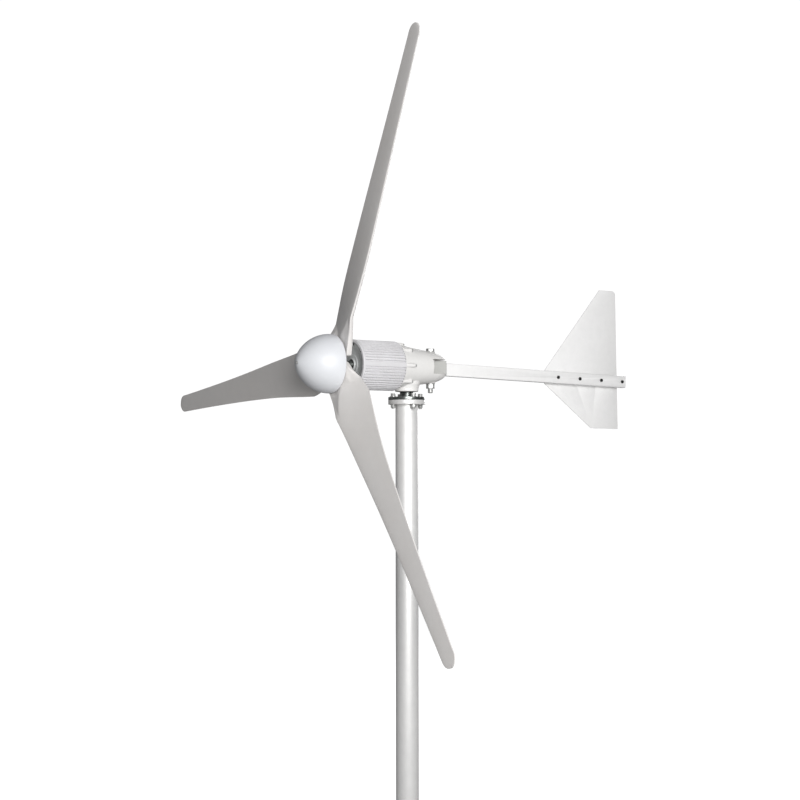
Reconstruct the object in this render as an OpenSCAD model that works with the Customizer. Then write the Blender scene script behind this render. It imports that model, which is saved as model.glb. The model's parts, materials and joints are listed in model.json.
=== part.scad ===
// Small three-bladed wind turbine on a flanged mast.
// The mast stands along Z with the underside of its base flange at z = 0.
// The rotor axis runs along Y at hub_h, nose towards -Y and tail towards +Y.

/* [Mast] */
// Height of the rotor axis above the underside of the base flange
hub_h = 1800; // [1500:10:3000]
// Outside diameter of the mast tube
mast_d = 88.9; // [80:0.1:95]
// Wall thickness of the mast tube
mast_wall = 4; // [3:0.5:6]
// Diameter of the flange that closes the mast's top and of the yaw spindle's flange
top_flange_d = 145; // [140:1:160]
// Bolt circle of those two flanges
top_pcd = 118; // [114:1:120]
// Turn of that bolt circle about the mast, in degrees
top_turn = -9; // [-45:1:45]
// Side of the square base plate
base_side = 220; // [200:5:260]
// Bolt circle of the anchor holes in the base plate
base_pcd = 230; // [210:5:250]
// Diameter of the anchor holes
anchor_d = 18; // [14:1:20]

/* [Rotor] */
// Diameter of the circle that the blade tips sweep
rotor_d = 2604; // [2200:4:3000]
// Angle of the first blade from straight up, clockwise from the front, in degrees
blade_turn = 25; // [0:1:119]
// Chord of the blade where it is widest
chord_max = 184; // [170:1:190]
// Twist of the blade just outside the hub, in degrees
twist_root = 18.5; // [12:0.5:22]
// Twist of the blade at its tip, in degrees
twist_tip = 4.5; // [2:0.5:8]
// Largest radius of the nose cone
nose_r = 113; // [104:1:116]
// Length of the nose cone's dome in front of its widest ring
nose_len = 144; // [110:1:150]

/* [Generator] */
// Number of cooling fins round the housing
fin_count = 52; // [40:4:60]
// Radius over the cooling fins
fin_r = 97; // [95:0.5:100]
// Radius at the foot of the fins
fin_root_r = 90; // [89:0.5:91]

/* [Tail] */
// Length of the boom tube
boom_len = 956; // [950:1:1000]
// Height of the boom tube
boom_h = 51; // [48:1:52]
// Width of the boom tube
boom_w = 30; // [28:1:32]
// Angle by which the boom droops towards its end, in degrees
boom_droop = 1.4; // [0:0.1:2]
// Thickness of the vane plate
vane_t = 3; // [2:0.5:4]

/* [Hidden] */
$fn = 72;
cut = 1;

// Heights along the mast, measured from the rotor axis
mast_flange_top = -131;
mast_flange_t = 17;
mast_flange_under = mast_flange_top - mast_flange_t;
spindle_flange_t = 12;
spindle_flange_top = mast_flange_top + spindle_flange_t;
tube_socket = 9;

// Base plate and gussets
base_t = 14;
gusset_h = 90;
gusset_reach = 52;
gusset_t = 8;
base_corner_r = 18;

// Fasteners: radius of the shank, radius of the hexagon over its corners, heights
m12_r = 6;
m12_hex = 10.4;
m12_head_h = 8;
m12_nut_h = 10.8;
m12_washer = [12, 2.5];
m12_spring_washer = [9.6, 3];
head_seat = spindle_flange_top + m12_washer[1] + m12_spring_washer[1];
nut_seat = mast_flange_under - m12_washer[1] - m12_nut_h;
m8_r = 4;
m8_hex = 7.5;
m8_head_h = 5.3;
m8_nut_h = 6.5;
m8_washer_t = 1.6;
m8_tail = 9;
m6_r = 3;
m6_head_r = 5;
m6_socket = 2.9;
m6_depth = 16;
m20_r = 10;
m20_hex = 17.3;
bolt_gap = 0.5;

// Yaw spindle with its lock nut, and the slip rings on top of it
collar_r = 27;
spindle_bore = 8;
spindle_top = 24;
yaw_nut_hex = 29;
drum_seat_r = 13;
drum_foot = -34;
drum_top = 20;
drum_r = 19;
slip_r = 22;
slip_w = 8;
slip_zs = [-26, -12, 2];
brush_w = 10;
brush_gap = 0.3;
holder_w = 26;
holder_y = 30;
holder_h = 60;
holder_pocket = 10;

// Yaw bearings: bore, outside, pitch and ball radii, and width
yaw_brg = [20, 40, 30, 5.95, 18];
lower_yaw_z = -95.5;
upper_yaw_z = -62;
neck_r = 46;
neck_bore = 34;
land_bore = 36;
neck_bottom = -98;
carrier_top = -42;

// Shaft bearings: bore, outside, pitch and ball radii, and width
front_brg = [15, 31, 23, 4.76, 16];
rear_brg = [12.5, 26, 19.25, 3.97, 15];
front_brg_y = -245;
rear_brg_y = -90;
ball_count = 9;
ball_play = 0.24;
seal_gap = 0.3;

// Generator, from its front rim to the joint with the casting
gen_front = -263;
gen_rear = -66;
shield_t = 3;
casting_front = gen_rear + shield_t;
gen_bore = 80;
shelf_r = 72;
cover_r = 86.5;
cover_face = -255;
cover_back = front_brg_y;
cover_screw_pcd = 156;
cover_screw_turn = 7;
cover_boss_r = 25;
cover_boss_h = 5;
trough_depth = 2.5;
seal_r = 21;
fin_t = 5.4;
front_ring_h = 10;
side_rib_w = 20;
casting_bolt_pcd = 171;
lug_r = 7.5;
lug_end = -20;
// The casting has no bolt at the bottom, where its neck is
casting_bolt_angles = [135 : 45 : 405];
active_front = -215;
active_rear = -115;
rotor_r = 66;
magnet_t = 6;
air_gap = 1;
pole_count = 12;
slot_count = 36;
slot_w = 5.2;
slot_foot_r = rotor_r + air_gap + 1.5;
slot_end_r = 78;
core_bore = 18;
end_turn = 14;

// Outlines of the casting and of its hollow: radius about the rotor axis, and y
casting_outside = [
    [0, casting_front], [90, casting_front], [85.5, -40], [78.5, -5], [71.5, 40], [65.5, 88],
    [61, 120], [54, 145], [46.5, 162], [38.5, 173], [33, 177], [0, 177]
];
casting_inside = [
    [0, casting_front - cut], [74, casting_front - cut], [68, -10], [60, 40], [54, 78], [0, 78]
];

// Hub, from front to back
rotor_y = 333;
pad_t = 22;
pad_front = -rotor_y - pad_t / 2;
pad_back = -rotor_y + pad_t / 2;
plate_t = 6;
plate_front = pad_front - plate_t;
nose_wide = plate_front - 8;
plate_r = 90;
spider_t = 10;
spider_back = pad_back + spider_t;
spider_r = 54;
arm_w = 78;
arm_reach = 89;
boss_r = 24;
boss_back = -298;
shaft_r = 11;
shaft_tip_r = 9.4;
thread_r = 8;
shaft_front = -368;
shaft_step = -278;
key_w = 6;
key_h = 6;
key_front = -320;
key_len = 20;
key_low = -13.5;
blade_bolts_at = [[42, 0], [76, 26], [76, -26]];
nose_wall = 3;
nose_point = 1.3;
nose_screw_len = 150;
nose_flange_r = 89;
nose_flange_t = 5;

// Blade: stations along the span, as fractions of the blade's radius
tip_r = rotor_d / 2;
root_in = 26;
le_gap = 20;
te_gap = 1;
te_pad = 64;
te_max = 103;
lead_part = 0.44;
chord_end = 32;
chord_fade = 800;
wedge = tan(60);
wide_r = 200;
outer_stations = 16;
round_stations = 5;
tip_round = 38;
section_points = 24;
thin_edge = 2.5;
// The blade is a flat pad within flat_r and flat_w, and past its crease it is all aerofoil
flat_r = 96;
flat_w = 50;
flat_lean = 1.3;
crease_r = 112;
crease_lean = 0.2;
crease_curve = 0.0125;

// Tail: hinge pin, slot in the casting, hinge block, boom and vane
pin_y = 114;
pin_end = -101;
pin_nut_h = 18;
pin_washer = [18.5, 3];
thrust_r = 17;
boss_outer_r = 19;
spot_r = 21;
slot_bottom = -26.5;
slot_top = 31.5;
slot_front = 88;
slot_side = -26;
block_bottom = -24.5;
block_top = 28.5;
barrel_r = 22;
block_w = 40;
block_end = 182;
bush_r = 13;
bush_len = 24;
ear_top = 61;
ear_bottom = -62;
tongue_start = 67.3;
tongue_len = 40;
boom_start = 69;
boom_wall = 2.5;
boom_z = -4;
cap_t = 4;
cap_plug = 12;
buffer_y = 140;
buffer_l = 26;
buffer_z = -14;
buffer_h = 32;
vane_bolts = [647, 767, 887, 1007];
vane_x = -boom_w / 2 - vane_t;
vane_outline = [
    [712, -46], [970, -231], [1122, -233], [1112, 356], [1100, 366], [1022, 366], [712, 8]
];

// ---------------------------------------------------------------- helpers

// Stands the children's local Z along the rotor axis, from y towards the tail
module along_rotor(y = 0) {
    translate([0, y, hub_h]) rotate([-90, 0, 0]) children();
}

// Lifts the children to a height measured from the rotor axis
module at_hub(z = 0) {
    translate([0, 0, hub_h + z]) children();
}

// Repeats the children round the local Z axis
module ring_of(count, radius, turn = 0) {
    for (i = [0 : count - 1])
        rotate([0, 0, turn + i * 360 / count]) translate([radius, 0, 0]) children();
}

module ring(inner, outer, height) {
    difference() {
        cylinder(r = outer, h = height);
        translate([0, 0, -cut]) cylinder(r = inner, h = height + 2 * cut);
    }
}

module hexagon(radius, height) {
    cylinder(r = radius, h = height, $fn = 6);
}

// Rounded rectangle made of squares and circles, centred on the origin
module soft_rect(w, h, r) {
    square([w - 2 * r, h], center = true);
    square([w, h - 2 * r], center = true);
    for (x = [-1, 1], y = [-1, 1])
        translate([x * (w / 2 - r), y * (h / 2 - r)]) circle(r = r);
}

// Inner ring of a ball bearing, standing on z = 0
module bearing_inner(b) {
    shoulder = b[2] - b[3] * 0.72;
    rotate_extrude() difference() {
        translate([b[0], 0]) square([shoulder - b[0], b[4]]);
        translate([b[2], b[4] / 2]) circle(r = b[3] + ball_play);
    }
}

// Outer ring of a ball bearing, standing on z = 0
module bearing_outer(b) {
    shoulder = b[2] + b[3] * 0.72;
    rotate_extrude() difference() {
        translate([shoulder, 0]) square([b[1] - shoulder, b[4]]);
        translate([b[2], b[4] / 2]) circle(r = b[3] + ball_play);
    }
}

// Balls of a bearing and the cage that spaces them
module bearing_balls(b) {
    cage_t = 1.2;
    cage_h = b[3] * 1.3;
    translate([0, 0, b[4] / 2]) {
        ring_of(ball_count, b[2]) sphere(r = b[3], $fn = 36);
        difference() {
            translate([0, 0, -cage_h]) ring(b[2] - cage_t, b[2] + cage_t, 2 * cage_h);
            ring_of(ball_count, b[2] - 3 * cage_t) rotate([0, 90, 0])
                cylinder(r = b[3] + 0.2, h = 6 * cage_t);
        }
    }
}

function centre(ring) = [for (k = [0 : 2]) [for (p = ring) 1] * [for (p = ring) p[k]] / len(ring)];

// Closed skin through a list of rings that hold the same number of points
module skin(rings) {
    n = len(rings[0]);
    m = len(rings);
    points = concat([for (r = rings) each r], [centre(rings[0]), centre(rings[m - 1])]);
    sides = [for (j = [0 : m - 2], i = [0 : n - 1]) each [
        [j * n + i, j * n + (i + 1) % n, (j + 1) * n + (i + 1) % n],
        [j * n + i, (j + 1) * n + (i + 1) % n, (j + 1) * n + i]
    ]];
    first = [for (i = [0 : n - 1]) [m * n, (i + 1) % n, i]];
    last = [for (i = [0 : n - 1]) [m * n + 1, (m - 1) * n + i, (m - 1) * n + (i + 1) % n]];
    polyhedron(points = points, faces = concat(sides, first, last));
}

// ------------------------------------------------------------------- mast

module mast_base_flange() color([0.72, 0.73, 0.73]) difference() {
    union() {
        linear_extrude(base_t) soft_rect(base_side, base_side, base_corner_r);
        for (a = [0 : 90 : 270])
            rotate([0, 0, a]) translate([mast_d / 2, gusset_t / 2, base_t]) rotate([90, 0, 0])
                linear_extrude(gusset_t) polygon([
                    [-cut, 0], [gusset_reach, 0], [gusset_reach, 12], [12, gusset_h], [-cut, gusset_h]
                ]);
    }
    translate([0, 0, -cut]) cylinder(r = mast_d / 2, h = base_t + gusset_h + 2 * cut);
    ring_of(4, base_pcd / 2, 45) translate([0, 0, -cut]) cylinder(d = anchor_d, h = base_t + 2 * cut);
}

module mast_tube() color([0.86, 0.86, 0.85])
    ring(mast_d / 2 - mast_wall, mast_d / 2, hub_h + mast_flange_under + tube_socket);

module mast_top_flange() color([0.78, 0.78, 0.77]) at_hub(mast_flange_under) difference() {
    ring(mast_d / 2 - mast_wall, top_flange_d / 2, mast_flange_t);
    translate([0, 0, -cut]) cylinder(r = mast_d / 2, h = tube_socket + cut);
    ring_of(4, top_pcd / 2, top_turn) translate([0, 0, -cut])
        cylinder(r = m12_r + bolt_gap, h = mast_flange_t + 2 * cut);
}

module flange_bolts() color([0.62, 0.63, 0.64]) at_hub()
    ring_of(4, top_pcd / 2, top_turn) {
        translate([0, 0, head_seat]) hexagon(m12_hex, m12_head_h);
        translate([0, 0, nut_seat - 4]) cylinder(r = m12_r, h = head_seat - nut_seat + 4);
    }

module flange_washers() color([0.66, 0.67, 0.68]) at_hub()
    ring_of(4, top_pcd / 2, top_turn) {
        translate([0, 0, spindle_flange_top]) ring(m12_r, m12_washer[0], m12_washer[1]);
        translate([0, 0, spindle_flange_top + m12_washer[1]])
            ring(m12_r, m12_spring_washer[0], m12_spring_washer[1]);
        translate([0, 0, nut_seat + m12_nut_h]) ring(m12_r, m12_washer[0], m12_washer[1]);
    }

module flange_nuts() color([0.62, 0.63, 0.64]) at_hub()
    ring_of(4, top_pcd / 2, top_turn)
        translate([0, 0, nut_seat]) difference() {
            hexagon(m12_hex, m12_nut_h);
            translate([0, 0, -cut]) cylinder(r = m12_r, h = m12_nut_h + 2 * cut);
        }

module yaw_spindle() color([0.36, 0.37, 0.38]) at_hub() difference() {
    union() {
        translate([0, 0, mast_flange_top]) cylinder(d = top_flange_d, h = spindle_flange_t);
        translate([0, 0, mast_flange_top])
            cylinder(r = collar_r, h = lower_yaw_z - mast_flange_top);
        translate([0, 0, mast_flange_top])
            cylinder(r = yaw_brg[0], h = drum_foot - mast_flange_top);
        translate([0, 0, mast_flange_top])
            cylinder(r = drum_seat_r, h = spindle_top - mast_flange_top);
    }
    translate([0, 0, mast_flange_top - cut])
        cylinder(r = spindle_bore, h = spindle_top - mast_flange_top + 2 * cut);
    ring_of(4, top_pcd / 2, top_turn) translate([0, 0, mast_flange_top - cut])
        cylinder(r = m12_r + bolt_gap, h = spindle_flange_t + 2 * cut);
}

module yaw_nut() color([0.5, 0.51, 0.52]) at_hub(upper_yaw_z + yaw_brg[4]) difference() {
    hexagon(yaw_nut_hex, drum_foot - upper_yaw_z - yaw_brg[4]);
    translate([0, 0, -cut]) cylinder(r = yaw_brg[0], h = 20);
}

module slip_ring_drum() color([0.45, 0.2, 0.12]) at_hub(drum_foot)
    ring(drum_seat_r, drum_r, drum_top - drum_foot);

module slip_rings() color([0.8, 0.6, 0.35]) at_hub()
    for (z = slip_zs) translate([0, 0, z]) ring(drum_r, slip_r, slip_w);

module lower_yaw_bearing_inner() color([0.75, 0.76, 0.78]) at_hub(lower_yaw_z)
    bearing_inner(yaw_brg);

module upper_yaw_bearing_inner() color([0.75, 0.76, 0.78]) at_hub(upper_yaw_z)
    bearing_inner(yaw_brg);

module yaw_bearing_spacer() color([0.55, 0.56, 0.57]) at_hub(lower_yaw_z + yaw_brg[4])
    ring(yaw_brg[0], 24, upper_yaw_z - lower_yaw_z - yaw_brg[4]);

module yaw_bearing_balls() color([0.85, 0.86, 0.88]) at_hub() {
    translate([0, 0, lower_yaw_z]) bearing_balls(yaw_brg);
    translate([0, 0, upper_yaw_z]) bearing_balls(yaw_brg);
}

// ---------------------------------------------------------------- nacelle

// Repeats the children at the bolts between the casting and the generator
module at_casting_bolts() {
    for (a = casting_bolt_angles)
        rotate([0, 0, a]) translate([casting_bolt_pcd / 2, 0, 0]) children();
}

module nacelle_casting() color([0.9, 0.9, 0.88]) at_hub() difference() {
    union() {
        difference() {
            union() {
                rotate([-90, 0, 0]) {
                    rotate_extrude() polygon(casting_outside);
                    translate([0, 0, casting_front]) at_casting_bolts()
                        cylinder(r = lug_r, h = lug_end - casting_front);
                }
                translate([0, pin_y, ear_bottom])
                    cylinder(r = boss_outer_r, h = ear_top - ear_bottom);
            }
            rotate([-90, 0, 0]) rotate_extrude() polygon(casting_inside);
        }
        rotate_extrude() polygon([
            [neck_bore, neck_bottom], [neck_r - 1, neck_bottom], [neck_r, neck_bottom + 1],
            [neck_r, -86], [neck_r + 2, -78], [neck_r + 6, -68], [neck_r + 6, -58],
            [neck_r, -50], [neck_r, carrier_top], [neck_bore, carrier_top]
        ]);
    }
    // Bearing seats with a land between them
    translate([0, 0, neck_bottom - cut])
        cylinder(r = yaw_brg[1], h = lower_yaw_z + yaw_brg[4] - neck_bottom + cut);
    translate([0, 0, upper_yaw_z]) cylinder(r = yaw_brg[1], h = carrier_top - upper_yaw_z + cut);
    translate([0, 0, neck_bottom - cut])
        cylinder(r = land_bore, h = carrier_top - neck_bottom + 2 * cut);
    // Holes for the bolts that hold the generator, with room for their heads
    rotate([-90, 0, 0]) at_casting_bolts() {
        translate([0, 0, casting_front - cut])
            cylinder(r = m6_r, h = lug_end - casting_front + 2 * cut);
        translate([0, 0, lug_end]) cylinder(r = m6_head_r + bolt_gap, h = 14);
    }
    // Slot between the ears, open to the back and to one side
    translate([slot_side, slot_front, slot_bottom]) cube([160, 120, slot_top - slot_bottom]);
    // Spot faces and the bore for the hinge pin
    translate([0, pin_y, ear_top]) cylinder(r = spot_r, h = 20);
    translate([0, pin_y, ear_bottom - 20]) cylinder(r = spot_r, h = 20);
    translate([0, pin_y, ear_bottom - cut]) cylinder(r = m20_r, h = ear_top - ear_bottom + 2 * cut);
}

module casting_bolts() color([0.6, 0.61, 0.62]) along_rotor() at_casting_bolts() {
    translate([0, 0, lug_end]) difference() {
        cylinder(r = m6_head_r, h = 6);
        translate([0, 0, 3]) hexagon(m6_socket, 4);
    }
    translate([0, 0, gen_rear - m6_depth]) cylinder(r = m6_r, h = lug_end - gen_rear + m6_depth);
}

module lower_yaw_bearing_outer() color([0.75, 0.76, 0.78]) at_hub(lower_yaw_z)
    bearing_outer(yaw_brg);

module upper_yaw_bearing_outer() color([0.75, 0.76, 0.78]) at_hub(upper_yaw_z)
    bearing_outer(yaw_brg);

module yaw_seal() color([0.08, 0.08, 0.08]) at_hub(neck_bottom)
    ring(collar_r + seal_gap, yaw_brg[1], lower_yaw_z - neck_bottom);

module brush_holder() color([0.25, 0.2, 0.16]) at_hub() difference() {
    translate([-holder_w / 2, holder_y, carrier_top]) cube([holder_w, 16, holder_h]);
    for (z = slip_zs) translate([-brush_w / 2, holder_y - cut, z + 1])
        cube([brush_w, holder_pocket + cut, slip_w - 2]);
    // Recess at the foot that clears the lock nut
    translate([-holder_w / 2 - cut, holder_y - cut, carrier_top + 4])
        cube([holder_w + 2 * cut, holder_pocket + cut, 7]);
}

module brushes() color([0.15, 0.15, 0.16]) at_hub()
    for (z = slip_zs) translate([-brush_w / 2, slip_r + brush_gap, z + 1])
        cube([brush_w, holder_y + holder_pocket - slip_r - brush_gap, slip_w - 2]);

module generator_rear_shield() color([0.7, 0.7, 0.69]) along_rotor() difference() {
    union() {
        translate([0, 0, gen_rear]) cylinder(r = fin_root_r, h = shield_t);
        translate([0, 0, gen_rear - 8]) cylinder(r = gen_bore, h = 9);
        translate([0, 0, rear_brg_y]) cylinder(r = rear_brg[1] + 7, h = gen_rear - rear_brg_y);
    }
    translate([0, 0, rear_brg_y - cut]) cylinder(r = rear_brg[1], h = rear_brg[4] + cut);
    translate([0, 0, rear_brg_y + rear_brg[4] - cut]) cylinder(r = 16, h = 6);
    at_casting_bolts() translate([0, 0, gen_rear - cut])
        cylinder(r = m6_r, h = shield_t + 2 * cut);
}

module generator_housing() color([0.84, 0.84, 0.85]) along_rotor() difference() {
    union() {
        translate([0, 0, gen_front]) cylinder(r = fin_root_r, h = gen_rear - gen_front);
        translate([0, 0, gen_front]) cylinder(r = fin_r, h = front_ring_h);
        translate([0, 0, gen_front]) linear_extrude(gen_rear - gen_front) {
            ring_of(fin_count, fin_root_r - 2, 180 / fin_count)
                translate([0, -fin_t / 2]) square([fin_r - fin_root_r + 1.6, fin_t]);
            ring_of(2, fin_root_r - 2)
                translate([0, -side_rib_w / 2]) square([fin_r - fin_root_r + 1.5, side_rib_w]);
        }
    }
    translate([0, 0, gen_front - cut]) cylinder(r = cover_r, h = cover_back - gen_front + cut);
    translate([0, 0, gen_front]) cylinder(r = shelf_r, h = gen_rear - gen_front + cut);
    translate([0, 0, cover_back + 10]) cylinder(r = gen_bore, h = gen_rear - cover_back);
    ring_of(8, cover_screw_pcd / 2, cover_screw_turn) translate([0, 0, cover_back - cut])
        cylinder(r = m6_r, h = 12);
    at_casting_bolts() translate([0, 0, gen_rear - m6_depth])
        cylinder(r = m6_r, h = m6_depth + cut);
}

module at_slots() {
    ring_of(slot_count, slot_foot_r) translate([0, -slot_w / 2])
        square([slot_end_r - slot_foot_r, slot_w]);
}

module stator_core() color([0.4, 0.4, 0.42]) along_rotor(active_front)
    linear_extrude(active_rear - active_front) difference() {
        circle(r = gen_bore);
        circle(r = rotor_r + air_gap);
        at_slots();
    }

module stator_windings() color([0.72, 0.4, 0.2]) along_rotor() {
    translate([0, 0, active_front]) linear_extrude(active_rear - active_front) at_slots();
    for (z = [active_front - end_turn, active_rear])
        translate([0, 0, z]) ring(slot_foot_r, slot_end_r, end_turn);
}

module generator_front_cover() color([0.42, 0.43, 0.43]) along_rotor() difference() {
    union() {
        translate([0, 0, cover_face]) cylinder(r = cover_r, h = cover_back - cover_face);
        translate([0, 0, cover_face - cover_boss_h])
            cylinder(r1 = cover_boss_r - 3, r2 = cover_boss_r, h = 3);
        translate([0, 0, cover_face - 2]) cylinder(r = cover_boss_r, h = 3);
        translate([0, 0, cover_back]) cylinder(r = front_brg[1] + 8, h = front_brg[4]);
    }
    // A shallow trough in the face between the boss and the screw ring
    translate([0, 0, cover_face + trough_depth - 4]) ring(38, 66, 4);
    translate([0, 0, cover_back]) cylinder(r = front_brg[1], h = front_brg[4] + cut);
    translate([0, 0, cover_face - cover_boss_h - cut]) cylinder(r = seal_r, h = 11);
    translate([0, 0, cover_face]) cylinder(r = 18, h = 20);
    ring_of(8, cover_screw_pcd / 2, cover_screw_turn) {
        translate([0, 0, cover_face - cut]) cylinder(r = m6_head_r + 0.2, h = 7);
        translate([0, 0, cover_face]) cylinder(r = m6_r, h = 20);
    }
}

module front_cover_screws() color([0.07, 0.07, 0.07]) along_rotor()
    ring_of(8, cover_screw_pcd / 2, cover_screw_turn) {
        translate([0, 0, cover_face + 2]) difference() {
            cylinder(r = m6_head_r, h = 4);
            translate([0, 0, -cut]) hexagon(m6_socket, 3.5);
        }
        translate([0, 0, cover_face + 6]) cylinder(r = m6_r, h = 12);
    }

module shaft_seal() color([0.06, 0.06, 0.06]) along_rotor(cover_face - 4)
    ring(front_brg[0] + seal_gap, seal_r, 8);

module front_bearing_outer() color([0.75, 0.76, 0.78]) along_rotor(front_brg_y)
    bearing_outer(front_brg);

module rear_bearing_outer() color([0.75, 0.76, 0.78]) along_rotor(rear_brg_y)
    bearing_outer(rear_brg);

module shaft_bearing_balls() color([0.85, 0.86, 0.88]) {
    along_rotor(front_brg_y) bearing_balls(front_brg);
    along_rotor(rear_brg_y) bearing_balls(rear_brg);
}

// ------------------------------------------------------------------ rotor

module main_shaft() color([0.32, 0.33, 0.33]) along_rotor() difference() {
    union() {
        translate([0, 0, shaft_front]) cylinder(r = thread_r, h = 40);
        translate([0, 0, pad_front])
            cylinder(r1 = shaft_tip_r, r2 = shaft_r, h = boss_back - pad_front);
        translate([0, 0, boss_back]) cylinder(r = shaft_r, h = 22);
        translate([0, 0, shaft_step])
            cylinder(r = front_brg[0], h = front_brg_y + front_brg[4] - shaft_step);
        translate([0, 0, front_brg_y + front_brg[4]])
            cylinder(r = core_bore, h = rear_brg_y - front_brg_y - front_brg[4]);
        translate([0, 0, rear_brg_y]) cylinder(r = rear_brg[0], h = rear_brg[4]);
    }
    translate([0, 0, shaft_front - cut]) cylinder(r = m6_r, h = 19);
    translate([-key_w / 2, key_low - 2.5, key_front]) cube([key_w, key_h + 2.5, key_len]);
}

module hub_key() color([0.55, 0.56, 0.57]) along_rotor()
    translate([-key_w / 2, key_low, key_front]) cube([key_w, key_h, key_len]);

// Blade bolts: the children stand at every bolt of every blade
module at_blade_bolts() {
    for (k = [0 : 2]) rotate([0, 0, -90 + blade_turn + k * 120])
        for (p = blade_bolts_at) translate([p[0], p[1], 0]) children();
}

module hub_spider() color([0.48, 0.49, 0.5]) along_rotor() difference() {
    union() {
        translate([0, 0, pad_back]) linear_extrude(spider_t) {
            circle(r = spider_r);
            for (k = [0 : 2]) rotate([0, 0, -90 + blade_turn + k * 120])
                translate([arm_reach / 2, 0]) soft_rect(arm_reach, arm_w, 12);
        }
        translate([0, 0, pad_front]) cylinder(r = boss_r, h = boss_back - pad_front);
    }
    translate([0, 0, pad_front])
        cylinder(r1 = shaft_tip_r, r2 = shaft_r, h = boss_back - pad_front);
    translate([0, 0, pad_front - cut]) cylinder(r = shaft_tip_r, h = 2 * cut);
    translate([0, 0, boss_back - cut]) cylinder(r = shaft_r, h = 2 * cut);
    translate([-key_w / 2, key_low, key_front]) cube([key_w, key_h + 2, key_len + 10]);
    at_blade_bolts() translate([0, 0, pad_back - cut]) cylinder(r = m8_r, h = spider_t + 2 * cut);
}

module hub_front_plate() color([0.6, 0.61, 0.62]) along_rotor() difference() {
    translate([0, 0, plate_front]) ring(boss_r, plate_r, plate_t);
    at_blade_bolts() translate([0, 0, plate_front - cut]) cylinder(r = m8_r, h = plate_t + 2 * cut);
}

module hub_washer() color([0.66, 0.67, 0.68]) along_rotor(pad_front - 2.5) ring(thread_r, 16, 2.5);

module hub_nut() color([0.6, 0.61, 0.62]) along_rotor(pad_front - 15.5) difference() {
    hexagon(13.9, 13);
    translate([0, 0, -cut]) cylinder(r = thread_r, h = 16);
}

module blade_bolts() color([0.6, 0.61, 0.62]) along_rotor() at_blade_bolts() {
    translate([0, 0, plate_front - m8_head_h]) hexagon(m8_hex, m8_head_h);
    translate([0, 0, plate_front]) cylinder(r = m8_r, h = spider_back + m8_tail - plate_front);
}

module blade_nuts() color([0.6, 0.61, 0.62]) along_rotor() at_blade_bolts()
    translate([0, 0, spider_back]) difference() {
        union() {
            ring(m8_r, 8.5, m8_washer_t);
            translate([0, 0, m8_washer_t]) hexagon(m8_hex, m8_nut_h);
        }
        translate([0, 0, -cut]) cylinder(r = m8_r, h = 12);
    }

// Nose cone: a pointed ellipse from the tip back to the widest ring, then a rounded rim
function nose_outline(r, len, steps) = [for (i = [0 : steps]) let(a = 90 * i / steps)
    [r * pow(sin(a), nose_point), nose_wide - len * cos(a)]];
module nose_cone() color([0.93, 0.94, 0.96]) difference() {
    along_rotor() rotate_extrude($fn = 96) difference() {
        polygon(concat(nose_outline(nose_r, nose_len, 24),
            [[nose_r, nose_wide + 4], [nose_r - 1.2, nose_wide + 7], [nose_r - 3, plate_front],
             [0, plate_front]]));
        polygon(concat(nose_outline(nose_r - nose_wall, nose_len - 7, 24),
            [[nose_r - nose_wall, plate_front - nose_flange_t],
             [nose_flange_r, plate_front - nose_flange_t], [nose_flange_r, plate_front + cut],
             [0, plate_front + cut]]));
    }
    along_rotor(nose_wide - nose_len - cut) cylinder(r = m6_r, h = 20);
    along_rotor(nose_wide - nose_len - cut) cylinder(r = 6.5, h = 3);
}

module nose_cone_screw() color([0.3, 0.3, 0.31]) along_rotor(nose_wide - nose_len - 1.4) difference() {
    union() {
        cylinder(r1 = 4.6, r2 = 6, h = 1.2);
        translate([0, 0, 1.2]) cylinder(r = 6, h = 2.2);
        cylinder(r = m6_r, h = nose_screw_len);
    }
    translate([0, 0, -cut]) hexagon(2.3, 3);
}

// Blade laws: distances from the pitch line to the two edges, at radius r
function soft_step(k) = let(c = min(1, max(0, k))) c * c * (3 - 2 * c);
function chord(r) = chord_end + (chord_max - chord_end) * exp(-(r - wide_r) / chord_fade);
function lead_share(r) = lead_part + 0.04 * soft_step((r - wide_r) / 300);
function lead_edge(r) = r < wide_r
    ? min(wedge * (r - le_gap), lead_part * chord_max)
    : lead_share(r) * chord(r);
function trail_edge(r) = r < wide_r
    ? min(wedge * (r - te_gap), te_max - (te_max - te_pad) * pow((wide_r - r) / 164, 1.3))
    : (1 - lead_share(r)) * chord(r);
function twist(r) = twist_tip + (twist_root - twist_tip) * exp(-max(0, r - wide_r) / 260);
function thick(r) = 0.14 * chord(max(r, wide_r)) * (1 - 0.1 * r / tip_r);
function tip_shrink(r) = let(k = max(0, r - tip_r + tip_round) / tip_round) sqrt(max(0.004, 1 - k * k));
function half_thick(x) = 5 * (0.2969 * sqrt(x) - 0.126 * x - 0.3516 * x * x
    + 0.2843 * pow(x, 3) - 0.1036 * pow(x, 4));
function clip(v) = max(-1, min(1, v));

// Share of the aerofoil at radius r and distance x from the pitch line: 0 is pad, 1 is aerofoil.
// The crease where it reaches 1 runs diagonally, further out towards the leading edge.
function foil_share(r, x) = let(
        from = flat_r - flat_lean * max(0, abs(x) - flat_w),
        to = crease_r + crease_lean * abs(x) + crease_curve * pow(max(0, x), 2))
    pow(min(1, max(0, (r - from) / (to - from))), 1.3);

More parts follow.
